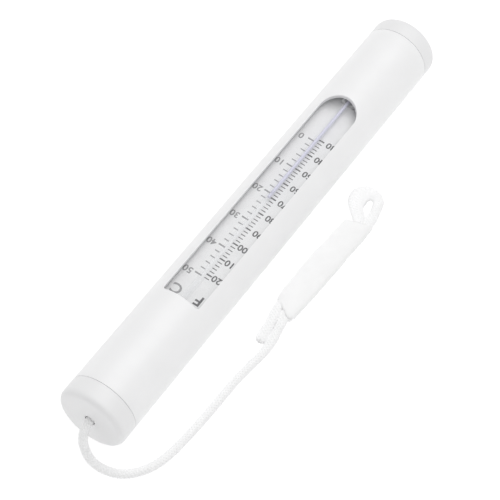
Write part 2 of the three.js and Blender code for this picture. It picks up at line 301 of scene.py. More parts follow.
# Where the braid spreads flat: round the eye's far bend, at its neck, along its right side, at the cut tail
# and at the sleeve's mouth beside it. Each has a centre, a reach, an extra width and a shift towards the
# eye's middle line.
SPREADS = (
    (Vector((0.0363, -0.0193, 0.00155)), 12 * MM, 1.5, 0.0),
    (Vector((0.0293, -0.0263, 0.00155)), 5.5 * MM, 0.8, 0.5 * MM),
    (Vector((0.0370, -0.0280, 0.00155)), 7 * MM, 0.0, 0.7 * MM),
    (Vector((-0.0325, -0.0218, 0.00155)), 9 * MM, 0.55, 0.0),
    (Vector((-0.0225, -0.0243, 0.00235)), 6 * MM, 0.35, 0.0),
)

# The cut end is melted round so that it doesn't fray
CUT_END = Vector(CORD_ROUTE[-1])
SEAL_LENGTH = 1.3 * MM
SEAL_ROUNDING = 0.85


def flattened(point):
    """The braid's width and thickness at a point, as shares of its usual size, and how far it is shifted."""
    line = EYE_TIP - EYE_ROOT
    share = max(0.0, min(1.0, (point - EYE_ROOT).dot(line) / line.length_squared))
    inward = (EYE_ROOT + line * share - point).normalized()
    wide = 1.0
    shift = 0.0
    for centre, reach, width, inset in SPREADS:
        near = max(0.0, 1 - (point - centre).length / reach)
        near = near * near * (3 - 2 * near)
        wide += width * near
        shift += inset * near
    sealed = max(0.0, 1 - (point - CUT_END).length / SEAL_LENGTH)
    sealed = math.sqrt(1 - SEAL_ROUNDING * sealed ** 2)
    return wide * sealed, sealed / math.sqrt(wide), inward * shift


def braid_strand(bm, line, frames, step, start_angle, way):
    """One flat strand that winds round the line and goes over and under those that wind the other way."""
    middle = (CORD_DIAMETER - STRAND_THICKNESS) / 2
    turn = 2 * math.pi / BRAID_PITCH
    rings = []
    for i, (point, (ahead, side, up)) in enumerate(zip(line, frames)):
        travelled = i * step
        angle = start_angle + way * turn * travelled
        wide, tall, shift = flattened(point)
        weave = way * STRAND_WEAVE * math.cos(STRANDS_EACH_WAY * turn * travelled)
        out = (side * (tall * math.cos(angle)) + up * (wide * math.sin(angle))).normalized()
        around = (up * (tall * math.cos(angle)) - side * (wide * math.sin(angle))) * way
        lean = math.atan(turn * middle * around.length)
        across = around.normalized() * math.cos(lean) - ahead * math.sin(lean)
        centre = point + shift + out * weave
        centre += side * (middle * wide * math.cos(angle)) + up * (middle * tall * math.sin(angle))
        ring = []
        for k in range(STRAND_SIDES):
            a = 2 * math.pi * k / STRAND_SIDES
            flat = across * (STRAND_WIDTH / 2 * (1 + wide) / 2 * math.cos(a))
            ring.append(bm.verts.new(centre + flat + out * (STRAND_THICKNESS / 2 * math.sin(a))))
        rings.append(ring)
    close_tube(bm, rings)


def close_tube(bm, rings):
    """Joins each ring to the next and closes both ends."""
    bridge_all(bm, rings)
    bm.faces.new(rings[0])
    bm.faces.new(rings[-1])


def cord_core(bm, line, frames):
    """The round core that the braid covers, with fewer rings, since it shows only between strands."""
    radius = CORD_DIAMETER / 2 - CORE_DEPTH
    points = line[::CORE_SPACING] + line[-1:]
    directions = frames[::CORE_SPACING] + frames[-1:]
    rings = []
    for point, (_, side, up) in zip(points, directions):
        wide, tall, shift = flattened(point)
        ring = []
        for k in range(CORE_SIDES):
            a = 2 * math.pi * k / CORE_SIDES
            level = side * (radius * wide * math.cos(a))
            ring.append(bm.verts.new(point + shift + level + up * (radius * tall * math.sin(a))))
        rings.append(ring)
    close_tube(bm, rings)


def make_cord(material):
    """The braided cord. Returns it and the line that it follows."""
    line, step = evenly(curve_through([Vector(p) for p in CORD_ROUTE]), CORD_STEP)
    frames = frames_along(line)
    bm = bmesh.new()
    cord_core(bm, line, frames)
    for k in range(STRANDS_EACH_WAY):
        angle = 2 * math.pi * k / STRANDS_EACH_WAY
        braid_strand(bm, line, frames, step, angle, 1)
        braid_strand(bm, line, frames, step, angle, -1)
    return link("braided_cord", bm, material), line


# Materials


def new_material(name, colour, roughness, **extra):
    """A Principled material. Returns the material, its node tree and its shader node."""
    material = bpy.data.materials.new(name)
    material.use_nodes = True
    tree = material.node_tree
    shader = tree.nodes["Principled BSDF"]
    shader.inputs["Base Color"].default_value = (*colour, 1)
    shader.inputs["Roughness"].default_value = roughness
    for socket, value in extra.items():
        shader.inputs[socket.replace("_", " ")].default_value = value
    return material, tree, shader


def noise(tree, scale, detail=3, roughness=0.5, stretch=None):
    """Noise over the object's own coordinates, optionally stretched along its axes."""
    texture = tree.nodes.new("ShaderNodeTexNoise")
    texture.inputs["Scale"].default_value = scale
    texture.inputs["Detail"].default_value = detail
    texture.inputs["Roughness"].default_value = roughness
    where = tree.nodes.new("ShaderNodeTexCoord")
    if stretch:
        mapping = tree.nodes.new("ShaderNodeMapping")
        mapping.inputs["Scale"].default_value = stretch
        tree.links.new(where.outputs["Object"], mapping.inputs["Vector"])
        tree.links.new(mapping.outputs["Vector"], texture.inputs["Vector"])
    else:
        tree.links.new(where.outputs["Object"], texture.inputs["Vector"])
    return texture.outputs["Fac"]


# Most of the noise lies between these two values
NOISE_LOW = 0.3
NOISE_HIGH = 0.7


def vary_gloss(tree, shader, value, low, high):
    """Makes the roughness go from low to high as a noise value rises."""
    remap = tree.nodes.new("ShaderNodeMapRange")
    remap.inputs["From Min"].default_value = NOISE_LOW
    remap.inputs["From Max"].default_value = NOISE_HIGH
    remap.inputs["To Min"].default_value = low
    remap.inputs["To Max"].default_value = high
    tree.links.new(value, remap.inputs["Value"])
    tree.links.new(remap.outputs["Result"], shader.inputs["Roughness"])


def vary_colour(tree, shader, value, first, second):
    """Makes the colour go from first to second as a noise value rises."""
    ramp = tree.nodes.new("ShaderNodeValToRGB")
    ramp.color_ramp.elements[0].position = NOISE_LOW
    ramp.color_ramp.elements[0].color = (*first, 1)
    ramp.color_ramp.elements[1].position = NOISE_HIGH
    ramp.color_ramp.elements[1].color = (*second, 1)
    tree.links.new(value, ramp.inputs["Fac"])
    tree.links.new(ramp.outputs["Color"], shader.inputs["Base Color"])


def bump(tree, shader, height, strength, distance):
    """Raises and lowers the surface by a noise value."""
    node = tree.nodes.new("ShaderNodeBump")
    node.inputs["Strength"].default_value = strength
    node.inputs["Distance"].default_value = distance
    tree.links.new(height, node.inputs["Height"])
    tree.links.new(node.outputs["Normal"], shader.inputs["Normal"])


def moulded_plastic(name, light, dark, gloss):
    """Moulded plastic: faint cloudiness, uneven gloss and a very fine orange peel."""
    material, tree, shader = new_material(name, light, gloss)
    vary_colour(tree, shader, noise(tree, scale=90), dark, light)
    vary_gloss(tree, shader, noise(tree, scale=260), gloss - 0.05, gloss + 0.07)
    bump(tree, shader, noise(tree, scale=2600, detail=4), strength=0.12, distance=0.05 * MM)
    return material


def clear_plastic(name, colour, alpha, gloss):
    """Clear plastic or glass: nearly see-through, with handling marks in its gloss."""
    material, tree, shader = new_material(name, colour, gloss, Alpha=alpha, IOR=1.49)
    marks = noise(tree, scale=700, detail=5, stretch=(0.15, 1, 1))
    vary_gloss(tree, shader, marks, gloss, gloss + 0.08)
    bump(tree, shader, noise(tree, scale=60), strength=0.1, distance=0.1 * MM)
    return material


def printed_card():
    """Matt white plate stock with a faint paper grain."""
    light = (0.88, 0.88, 0.885)
    dark = (0.85, 0.85, 0.855)
    material, tree, shader = new_material("plate_stock", light, 0.6)
    vary_colour(tree, shader, noise(tree, scale=350, detail=6), dark, light)
    bump(tree, shader, noise(tree, scale=4200), strength=0.15, distance=0.03 * MM)
    return material


def printing_ink(name, solid, thin):
    """Screen-printed ink, a little uneven in density."""
    material, tree, shader = new_material(name, solid, 0.55)
    vary_colour(tree, shader, noise(tree, scale=2600, detail=5), solid, thin)
    bump(tree, shader, noise(tree, scale=5200, detail=2), strength=0.2, distance=0.02 * MM)
    return material


def spirit_fill():
    """Blue-violet thermometer spirit."""
    light = (0.72, 0.715, 0.86)
    dark = (0.66, 0.65, 0.82)
    material, tree, shader = new_material("blue_spirit", light, 0.15)
    vary_colour(tree, shader, noise(tree, scale=800), dark, light)
    bump(tree, shader, noise(tree, scale=1500), strength=0.05, distance=0.02 * MM)
    return material


def cord_fibre():
    """White synthetic fibre with fine filaments along each strand and a soft sheen."""
    light = (0.96, 0.96, 0.963)
    dark = (0.93, 0.93, 0.933)
    material, tree, shader = new_material(
        "white_cord_fibre", light, 0.75, Sheen_Weight=0.35, Sheen_Roughness=0.5,
    )
    vary_colour(tree, shader, noise(tree, scale=500, detail=4), dark, light)
    vary_gloss(tree, shader, noise(tree, scale=900), 0.68, 0.85)
    bump(tree, shader, noise(tree, scale=5200, roughness=0.6), strength=0.15, distance=0.03 * MM)
    return material


def woven_sleeve():
    """Soft white sleeve with a faint lengthwise grain, which light enters a little."""
    light = (0.94, 0.94, 0.94)
    dark = (0.915, 0.915, 0.915)
    material, tree, shader = new_material("white_sleeve_skin", light, 0.5, Sheen_Weight=0.15)
    vary_colour(tree, shader, noise(tree, scale=300), dark, light)
    grain = noise(tree, scale=900, detail=5, stretch=(0.3, 1, 1))
    bump(tree, shader, grain, strength=0.3, distance=0.08 * MM)
    shader.inputs["Subsurface Weight"].default_value = 0.25
    shader.inputs["Subsurface Radius"].default_value = (1, 1, 1)
    shader.inputs["Subsurface Scale"].default_value = 0.7 * MM
    return material


def seal_rubber():
    """Black rubber, almost without shine."""
    material, tree, shader = new_material("seal_rubber_matt", (0.03, 0.03, 0.032), 0.75)
    vary_gloss(tree, shader, noise(tree, scale=1500), 0.65, 0.85)
    bump(tree, shader, noise(tree, scale=3500), strength=0.3, distance=0.03 * MM)
    return material


def brushed_metal(name, colour, gloss):
    """Metal with a fine grain along X."""
    material, tree, shader = new_material(name, colour, gloss, Metallic=1.0)
    grain = noise(tree, scale=2500, stretch=(0.08, 1, 1))
    vary_gloss(tree, shader, grain, gloss - 0.08, gloss + 0.15)
    bump(tree, shader, grain, strength=0.15, distance=0.02 * MM)
    return material


# Outer casing

LIP = 0.32 * MM
LIP_SUPPORT = 0.14 * MM
INNER_LIP = 0.12 * MM
END_EDGE = 0.12 * MM
SEAM_OVERLAP = 0.1 * MM
CASING_START = casing_low.x - SEAM_OVERLAP
CASING_END = casing_high.x + SEAM_OVERLAP

# How finely the tube is divided: lines over the window and round the rest, rows before the window, beside it
# and after it, and steps round its edges
TOP_LINES = 48
SIDE_LINES = 84
START_ROWS = 16
WINDOW_ROWS = 40
END_ROWS = 16
LIP_STEPS = 4
END_STEPS = 3

# How far round an end of the window each of the lines over it is
WINDOW_TURNS = [math.pi * (j / TOP_LINES - 0.5) for j in range(TOP_LINES + 1)]


def square_edge(turn, offset):
    """A point on the window's square end, with its rounded corners, grown by offset."""
    y = (WINDOW_HALF_WIDTH + offset) * math.sin(turn)
    past = abs(y) - (WINDOW_HALF_WIDTH - WINDOW_CORNER)
    if past <= 0:
        return WINDOW_START - offset, y
    corner = WINDOW_CORNER + offset
    return WINDOW_START + WINDOW_CORNER - math.sqrt(max(0.0, corner ** 2 - past ** 2)), y


def arch_edge(turn, offset):
    """A point on the window's round end, grown by offset."""
    reach = WINDOW_HALF_WIDTH + offset
    return ARCH_CENTRE + reach * math.cos(turn), reach * math.sin(turn)


def window_loop(offset):
    """The window's outline grown by offset, as (x, y) in the order that casing_skin gives its hole."""
    side = WINDOW_HALF_WIDTH + offset
    start = WINDOW_START + WINDOW_CORNER
    rows = [start + (ARCH_CENTRE - start) * i / WINDOW_ROWS for i in range(1, WINDOW_ROWS)]
    loop = [square_edge(turn, offset) for turn in WINDOW_TURNS]
    loop += [(x, side) for x in rows]
    loop += [arch_edge(turn, offset) for turn in reversed(WINDOW_TURNS)]
    loop += [(x, -side) for x in reversed(rows)]
    return loop


def skin_lines(radius, offset):
    """The lines that run along the tube, each with its angle and where the window starts and ends on it."""
    side = WINDOW_HALF_WIDTH + offset
    lines = []
    for turn in WINDOW_TURNS:
        angle = math.asin(side * math.sin(turn) / radius)
        lines.append((angle, square_edge(turn, offset)[0], arch_edge(turn, offset)[0]))
    edge_angle = math.asin(side / radius)
    for j in range(1, SIDE_LINES):
        angle = edge_angle + (2 * math.pi - 2 * edge_angle) * j / SIDE_LINES
        lines.append((angle, WINDOW_START + WINDOW_CORNER, ARCH_CENTRE))
    return lines


def casing_skin(bm, radius, offset):
    """The tube's outer or inner surface with the window left open. Returns its hole and its two end rings."""
    lines = skin_lines(radius, offset)
    arch = START_ROWS + WINDOW_ROWS
    last = arch + END_ROWS
    start = CASING_START + END_EDGE
    end = CASING_END - END_EDGE
    grid = {}
    for j, (angle, near, far) in enumerate(lines):
        rows = {i: start + (near - start) * i / START_ROWS for i in range(START_ROWS + 1)}
        if j == 0 or j >= TOP_LINES:
            for i in range(1, WINDOW_ROWS):
                rows[START_ROWS + i] = near + (far - near) * i / WINDOW_ROWS
        for i in range(END_ROWS + 1):
            rows[arch + i] = far + (end - far) * i / END_ROWS
        for row, x in rows.items():
            grid[row, j] = vertex_round(bm, x, radius, angle)
    for row in range(last):
        for j in range(len(lines)):
            over_window = START_ROWS <= row < arch and j < TOP_LINES
            if not over_window:
                k = (j + 1) % len(lines)
                bm.faces.new((grid[row, j], grid[row, k], grid[row + 1, k], grid[row + 1, j]))
    hole = [grid[START_ROWS, j] for j in range(TOP_LINES + 1)]
    hole += [grid[START_ROWS + i, TOP_LINES] for i in range(1, WINDOW_ROWS)]
    hole += [grid[arch, j] for j in range(TOP_LINES, -1, -1)]
    hole += [grid[START_ROWS + i, 0] for i in range(WINDOW_ROWS - 1, 0, -1)]
    first_ring = [grid[0, j] for j in range(len(lines))]
    last_ring = [grid[last, j] for j in range(len(lines))]
    return hole, first_ring, last_ring


def lip_profile(lip, depth_sign):
    """(offset, drop) from the surface round a rounded lip to the window's wall."""
    steps = []
    for k in range(LIP_STEPS + 1):
        a = math.pi / 2 * k / LIP_STEPS
        steps.append((lip * (1 - math.sin(a)), depth_sign * lip * (1 - math.cos(a))))
    return steps


def close_end(bm, outer, inner, face, inward):
    """Closes one end of the tube's wall between its outer and inner skins, with rounded edges."""
    outer_angles = [math.atan2(v.co.y, v.co.z - AXIS_HEIGHT) for v in outer]
    inner_angles = [math.atan2(v.co.y, v.co.z - AXIS_HEIGHT) for v in inner]
    bends = [math.pi / 2 * k / END_STEPS for k in range(1, END_STEPS + 1)]
    edge = [(END_EDGE * (1 - math.cos(a)), END_EDGE * (1 - math.sin(a))) for a in bends]
    profile = [(outer_angles, RADIUS - drop, depth) for drop, depth in edge]
    profile += [(inner_angles, BORE_RADIUS + drop, depth) for drop, depth in reversed(edge[:-1])]
    rings = [outer]
    for angles, radius, depth in profile:
        rings.append([vertex_round(bm, face + inward * depth, radius, angle) for angle in angles])
    bridge_all(bm, rings + [inner])


def make_casing(material):
    """The white tube, with a soft lip round the window and rounded ends."""
    bm = bmesh.new()
    outer_hole, outer_first, outer_last = casing_skin(bm, RADIUS, LIP + LIP_SUPPORT)
    inner_hole, inner_first, inner_last = casing_skin(bm, BORE_RADIUS, INNER_LIP * 2)
    profile = [(RADIUS, *step) for step in lip_profile(LIP, 1)]
    profile += [(BORE_RADIUS, *step) for step in reversed(lip_profile(INNER_LIP, -1))]
    loops = [outer_hole]
    for radius, offset, drop in profile:
        loops.append([
            bm.verts.new((x, y, AXIS_HEIGHT + math.sqrt(radius ** 2 - y ** 2) - drop))
            for x, y in window_loop(offset)
        ])
    bridge_all(bm, loops + [inner_hole])
    close_end(bm, outer_first, inner_first, CASING_START, 1)
    close_end(bm, outer_last, inner_last, CASING_END, -1)
    return link("white_casing_tube", bm, material)


# End caps

CAP_SKIRT = 7.3 * MM + SEAM_OVERLAP
CAP_EDGE = 2.5 * MM
CAP_FLOOR = 3.5 * MM
CAP_DEPTH = 15 * MM
SPIGOT_RADIUS = 10.7 * MM
SPIGOT_WALL = 2 * MM
SPIGOT_ROOT_ROUNDING = 0.12 * MM
SPIGOT_LEAD_ROUNDING = 0.6 * MM
SPIGOT_RIM_ROUNDING = 0.3 * MM
CAP_FLOOR_ROUNDING = 0.5 * MM
CORD_HOLE_RADIUS = 1.85 * MM
CORD_HOLE_ROUNDING = 0.35 * MM


def cap_corners(hole_radius, hole_rounding):
    """A cap's (radius, depth, fillet) corners from its outer face inwards, round the spigot and back."""
    return [
        (hole_radius, 0, hole_rounding),
        (RADIUS, 0, CAP_EDGE),
        (RADIUS, CAP_SKIRT, END_EDGE),
        (SPIGOT_RADIUS, CAP_SKIRT, SPIGOT_ROOT_ROUNDING),
        (SPIGOT_RADIUS, CAP_DEPTH, SPIGOT_LEAD_ROUNDING),
        (SPIGOT_RADIUS - SPIGOT_WALL, CAP_DEPTH, SPIGOT_RIM_ROUNDING),
        (SPIGOT_RADIUS - SPIGOT_WALL, CAP_FLOOR, CAP_FLOOR_ROUNDING),
        (hole_radius, CAP_FLOOR, hole_rounding),
    ]


def make_cap(name, end, inward, hole_radius, material):
    """A push-in end cap. With a hole, its profile is a closed ring and starts part-way up the hole's wall."""
    corners = cap_corners(hole_radius, CORD_HOLE_ROUNDING if hole_radius else 0)
    if hole_radius:
        corners.insert(0, (hole_radius, CAP_FLOOR / 2, 0))
    placed = [(radius, end + inward * depth, fillet) for radius, depth, fillet in corners]
    return revolve(name, placed, material, steps=128, fillet_steps=8)


# Sealed unit inside the casing

LINER_WALL = 0.8 * MM
LINER_ROUNDING = 0.15 * MM
LINER_RADIUS = (liner_high.z - liner_low.z) / 2

# Glass: a stem whose sealed tip is round, a shoulder, and a bulb whose cavity is wider than the stem's bore
GLASS_RADIUS = 1.3 * MM
GLASS_BORE = 0.7 * MM
TIP_WALL = 1.4 * MM
TIP_ROUNDING = 1.2 * MM
BORE_TIP_ROUNDING = 0.5 * MM
BULB_START = CORD_END + 160 * MM
BULB_SHOULDER = 1.5 * MM
SHOULDER_ROUNDING = 2 * MM
BULB_RADIUS = (glass_high.z - glass_low.z) / 2
BULB_WALL = 0.4 * MM
BULB_ROUNDING = 1.4 * MM
BULB_END_WALL = 1.2 * MM
CAVITY_ROUNDING = 1 * MM

# Spirit: its thread has enough rings to stretch evenly as the reading changes
SPIRIT_RADIUS = 0.6 * MM
THREAD_RINGS = 40
THREAD_GAP = 0.02 * MM
DOME_ROUNDING = 0.55 * MM
RESERVOIR_START_ROUNDING = 0.5 * MM
RESERVOIR_END_ROUNDING = 0.6 * MM


def make_liner(material):
    inner = LINER_RADIUS - LINER_WALL
    middle = (liner_low.x + liner_high.x) / 2
    return revolve("clear_liner_tube", [
        (LINER_RADIUS, middle, 0),
        (LINER_RADIUS, liner_high.x, LINER_ROUNDING),
        (inner, liner_high.x, LINER_ROUNDING),
        (inner, liner_low.x, LINER_ROUNDING),
        (LINER_RADIUS, liner_low.x, LINER_ROUNDING),
    ], material, steps=128)


def make_glass(material):
    """The glass capillary: a sealed round tip, a straight stem and a wider bulb, with its bore inside."""
    stem_end = BULB_START - BULB_SHOULDER
    cavity_radius = BULB_RADIUS - BULB_WALL
    bore_start = glass_low.x + TIP_WALL
    cavity_end = glass_high.x - BULB_END_WALL
    outside = revolve("glass_capillary", [
        (0, glass_low.x, 0),
        (GLASS_RADIUS, glass_low.x, TIP_ROUNDING),
        (GLASS_RADIUS, stem_end, SHOULDER_ROUNDING),
        (BULB_RADIUS, BULB_START, SHOULDER_ROUNDING),
        (BULB_RADIUS, glass_high.x, BULB_ROUNDING),
        (0, glass_high.x, 0),
    ], material, height=STEM_HEIGHT, steps=40, fillet_steps=6)
    inside = revolve("glass_bore", [
        (0, bore_start, 0),
        (GLASS_BORE, bore_start, BORE_TIP_ROUNDING),
        (GLASS_BORE, stem_end, SHOULDER_ROUNDING),
        (cavity_radius, BULB_START, SHOULDER_ROUNDING),
        (cavity_radius, cavity_end, CAVITY_ROUNDING),
        (0, cavity_end, 0),
    ], material, height=STEM_HEIGHT, steps=32, fillet_steps=6)
    inside.data.flip_normals()
    return join([outside, inside])


def join(objects):
    """Joins the meshes of several objects into the first of them."""
    bm = bmesh.new()
    for piece in objects:
        bm.from_mesh(piece.data)
    bm.to_mesh(objects[0].data)
    bm.free()
    for piece in objects[1:]:
        bpy.data.objects.remove(piece)
    return objects[0]


def make_column(material):
    """The spirit in the bore, from just under its top to the bulb."""
    low = meniscus_high.x + THREAD_GAP
    high = column_high.x
    corners = [(0, low, 0)]
    corners += [(SPIRIT_RADIUS, low + (high - low) * i / THREAD_RINGS, 0) for i in range(THREAD_RINGS + 1)]
    corners.append((0, high, 0))
    return revolve("spirit_thread", corners, material, height=STEM_HEIGHT, steps=16)


def make_meniscus(material):
    """The spirit's moving top, which is slightly domed."""
    return revolve("spirit_top", [
        (0, meniscus_low.x, 0),
        (SPIRIT_RADIUS, meniscus_low.x, DOME_ROUNDING),
        (SPIRIT_RADIUS, meniscus_high.x, 0),
        (0, meniscus_high.x, 0),
    ], material, height=STEM_HEIGHT, steps=16)


def make_bulb_fill(material):
    radius = (fill_high.z - fill_low.z) / 2
    return revolve("spirit_reservoir", [
        (0, fill_low.x, 0),
        (radius, fill_low.x, RESERVOIR_START_ROUNDING),
        (radius, fill_high.x, RESERVOIR_END_ROUNDING),
        (0, fill_high.x, 0),
    ], material, height=STEM_HEIGHT, steps=24)


# Scale plate and its print

INK_HEIGHT = 0.04 * MM
PLATE_TOP = plate_high.z
NUMERAL_SIZE = 3.5 * MM
LETTER_SIZE = 5.6 * MM
LETTER_BOLDNESS = 0.02

# The Fahrenheit ticks go one past the top number
FAHRENHEIT_TICKS = range(BOTTOM_DEGREES, TOP_DEGREES + 3, 2)
CELSIUS_TICKS = range(0, 51, 2)

# How each scale is printed: its letter, where its ticks and numerals are, and the length and width of its
# ticks at the tens and between them
FAHRENHEIT = {
    "letter": "F",
    "letter_x": CORD_END + 53.9 * MM,
    "letter_y": -4.1 * MM,
    "tick_y": -1.2 * MM,
    "ten_tick": (2.1 * MM, 0.55 * MM),
    "short_tick": (1.8 * MM, 0.32 * MM),
    "numeral_y": -5.1 * MM,
    "numeral_shift": 0.0,
}
CELSIUS = {
    "letter": "C",
    "letter_x": CORD_END + 53.5 * MM,
    "letter_y": 4.5 * MM,
    "tick_y": 2.1 * MM,
    "ten_tick": (2.6 * MM, 0.60 * MM),
    "short_tick": (1.8 * MM, 0.42 * MM),
    "numeral_y": 5.9 * MM,
    "numeral_shift": 0.5 * MM,
}

# Plate: its slots at the holders, its clearance in the liner, and its edges, which are eased where they turn
# by more than SHARP_ANGLE radians
HOLDER_STATIONS = (36 * MM, 155.5 * MM)
SLOT_HALF_LENGTH = 3.3 * MM
SLOT_HALF_WIDTH = 2.7 * MM
PLATE_CLEARANCE = 0.03 * MM
PLATE_EDGE = 0.06 * MM
SHARP_ANGLE = 1.0


def add_bar(bm, x, y, length, width):
    """A thin printed bar whose long side runs across the plate."""
    corners = [(-1, -1), (1, -1), (1, 1), (-1, 1)]
    base = [bm.verts.new((x + i * width / 2, y + j * length / 2, PLATE_TOP)) for i, j in corners]
    top = [bm.verts.new((v.co.x, v.co.y, PLATE_TOP + INK_HEIGHT)) for v in base]
    bridge(bm, base, top)
    bm.faces.new(base)
    bm.faces.new(top)


def add_text(bm, text, x, y, size):
    """Lettering whose top points to the cord end, as thin solid print. x and y are its middle."""
    curve = bpy.data.curves.new("lettering", "FONT")
    curve.body = text
    curve.size = size
    curve.align_x = "CENTER"
    curve.align_y = "CENTER"
    curve.extrude = INK_HEIGHT / 2
    curve.offset = size * LETTER_BOLDNESS
    curve.resolution_u = 4
    letters = bpy.data.objects.new("lettering", curve)
    bpy.context.scene.collection.objects.link(letters)
    bpy.context.view_layer.update()
    evaluated = letters.evaluated_get(bpy.context.evaluated_depsgraph_get())
    mesh = bpy.data.meshes.new_from_object(evaluated)
    for vertex in mesh.vertices:
        across, up, out = vertex.co
        vertex.co = (x - up, y + across, PLATE_TOP + INK_HEIGHT / 2 + out)
    bm.from_mesh(mesh)
    bpy.data.objects.remove(letters)
    bpy.data.curves.remove(curve)
    bpy.data.meshes.remove(mesh)


def degree_x(fahrenheit):
    return TOP_DEGREES_X + (TOP_DEGREES - fahrenheit) * STEP_PER_DEGREE


def scale_print(name, marks, style, ink):
    """One scale's print. Its marks are (number, x) pairs, and those at the tens have a numeral."""
    bm = bmesh.new()
    for number, x in marks:
        if number % 10 == 0:
            add_bar(bm, x, style["tick_y"], *style["ten_tick"])
            add_text(bm, str(number), x - style["numeral_shift"], style["numeral_y"], NUMERAL_SIZE)
        else:
            add_bar(bm, x, style["tick_y"], *style["short_tick"])
    add_text(bm, style["letter"], style["letter_x"], style["letter_y"], LETTER_SIZE)
    return link(name, bm, ink, smooth=False)


def make_fahrenheit(ink):
    marks = [(degrees, degree_x(degrees)) for degrees in FAHRENHEIT_TICKS]
    return scale_print("fahrenheit_print", marks, FAHRENHEIT, ink)


def make_celsius(ink):
    marks = [(degrees, degree_x(degrees * 9 / 5 + 32)) for degrees in CELSIUS_TICKS]
    return scale_print("celsius_print", marks, CELSIUS, ink)


def make_plate(material):
    """The plate with a slot at each holder, its edges eased."""
    xs = [plate_low.x]
    for distance in HOLDER_STATIONS:
        middle = CORD_END + distance
        xs += [middle - SLOT_HALF_LENGTH, middle + SLOT_HALF_LENGTH]
    xs.append(plate_high.x)
    edge = math.sqrt((LINER_RADIUS - LINER_WALL) ** 2 - (plate_high.z - AXIS_HEIGHT) ** 2) - PLATE_CLEARANCE
    ys = [-edge, -SLOT_HALF_WIDTH, SLOT_HALF_WIDTH, edge]
    bm = bmesh.new()
    grid = [[bm.verts.new((x, y, plate_low.z)) for y in ys] for x in xs]
    for i in range(len(xs) - 1):
        for j in range(len(ys) - 1):
            slot = i in (1, 3) and j == 1
            if not slot:
                bm.faces.new((grid[i][j], grid[i + 1][j], grid[i + 1][j + 1], grid[i][j + 1]))
    lifted = bmesh.ops.extrude_face_region(bm, geom=bm.faces[:])["geom"]
    thickness = Vector((0, 0, plate_high.z - plate_low.z))
    bmesh.ops.translate(bm, verts=[g for g in lifted if isinstance(g, bmesh.types.BMVert)], vec=thickness)
    sharp = [e for e in bm.edges if len(e.link_faces) == 2 and e.calc_face_angle() > SHARP_ANGLE]
    bmesh.ops.bevel(bm, geom=sharp, offset=PLATE_EDGE, segments=2, affect="EDGES")
    return link("scale_plate_card", bm, material, smooth=False)


# Sleeve on the cord

SLEEVE_START = Vector((-0.0198, -0.02307, 0.00245))
SLEEVE_END = Vector((0.0252, -0.02725, 0.00245))
SLEEVE_RADIUS = 2.3 * MM
HALF_SPACING = 1.66 * MM
HALF_WIDTH = HALF_SPACING + SLEEVE_RADIUS
SLEEVE_ROWS = 60
SLEEVE_SIDES = 48
SLEEVE_LIP = 0.15 * MM
SECTION_FLATNESS = 1.2

# Outside: how it widens at each end and along its middle, and how much it narrows at each mouth. The higher
# a fade is, the closer to its mouth the change stays.
TAIL_END_FLARE = 2.6 * MM
EYE_END_FLARE = 2.0 * MM
SLEEVE_BULGE = 0.45 * MM
TAIL_MOUTH_SQUEEZE = 0.75 * MM
TAIL_MOUTH_FADE = 14
EYE_MOUTH_SQUEEZE = 0.3 * MM
EYE_MOUTH_FADE = 20

# Its surface is a little lumpy: a short wave that a longer one swells
LUMP_HEIGHT = 0.10 * MM
LUMP_WAVE = 19
LUMP_PHASE = 1.0
LUMP_SWELL = 7

# Bore: how it closes round the strands at each mouth, and how its middle is pinched between them
SLEEVE_BORE = 1.62 * MM
BORE_SQUEEZE = 0.36 * MM
TAIL_BORE_FADE = 18
TAIL_SIDE_CLOSING = 0.45 * MM
CORD_SIDE_OPENING = 0.85 * MM
EYE_BORE_FADE = 30
EYE_SIDE_OPENING = 0.4 * MM
MOUTH_PINCH = 1.0

# The ends are cut on a slant, and the corner that reaches out furthest at the tail end is rounded back
TAIL_END_SLANT = 2.3 * MM
EYE_END_SLANT = 1.8 * MM
FLAP_START = 0.8
FLAP_FADE = 10
FLAP_ROUNDING = 4 * MM


def sleeve_section(angle, tail_side, cord_side, radius, pinch):
    """A point on a flat oval outline, as (across, up). The sides say how far out the centres of its halves
    are, and pinch how much it narrows between them."""
    weight = max(-1.0, min(1.0, math.cos(angle) * SECTION_FLATNESS))
    middle = (tail_side - cord_side) / 2
    half = (tail_side + cord_side) / 2
    waist = 1 - pinch * max(0.0, 1 - (2 * weight) ** 2)
    return radius * math.cos(angle) + middle + half * weight, radius * math.sin(angle) * waist


def sleeve_outside(t):
    """The outside's section at a share t of the length: flared on one side at each end."""
    lump = LUMP_HEIGHT * math.sin(t * LUMP_WAVE + LUMP_PHASE) * math.sin(t * LUMP_SWELL)
    squeeze = TAIL_MOUTH_SQUEEZE * math.exp(-t * TAIL_MOUTH_FADE)
    squeeze += EYE_MOUTH_SQUEEZE * math.exp((t - 1) * EYE_MOUTH_FADE)
    tail_side = HALF_SPACING + EYE_END_FLARE * t + SLEEVE_BULGE * math.sin(math.pi * t)
    cord_side = HALF_SPACING + TAIL_END_FLARE * (1 - t)
    return tail_side, cord_side, SLEEVE_RADIUS + lump - squeeze, 0.0


def sleeve_inside(t):
    """The bore's section, which hugs both strands where they come together or part at the mouths."""
    tail_mouth = math.exp(-t * TAIL_BORE_FADE)
    eye_mouth = math.exp((t - 1) * EYE_BORE_FADE)
    tail_side = HALF_SPACING + EYE_SIDE_OPENING * eye_mouth - TAIL_SIDE_CLOSING * tail_mouth
    cord_side = HALF_SPACING + CORD_SIDE_OPENING * tail_mouth
    mouths = tail_mouth + eye_mouth
    return tail_side, cord_side, SLEEVE_BORE - BORE_SQUEEZE * mouths, MOUTH_PINCH * mouths


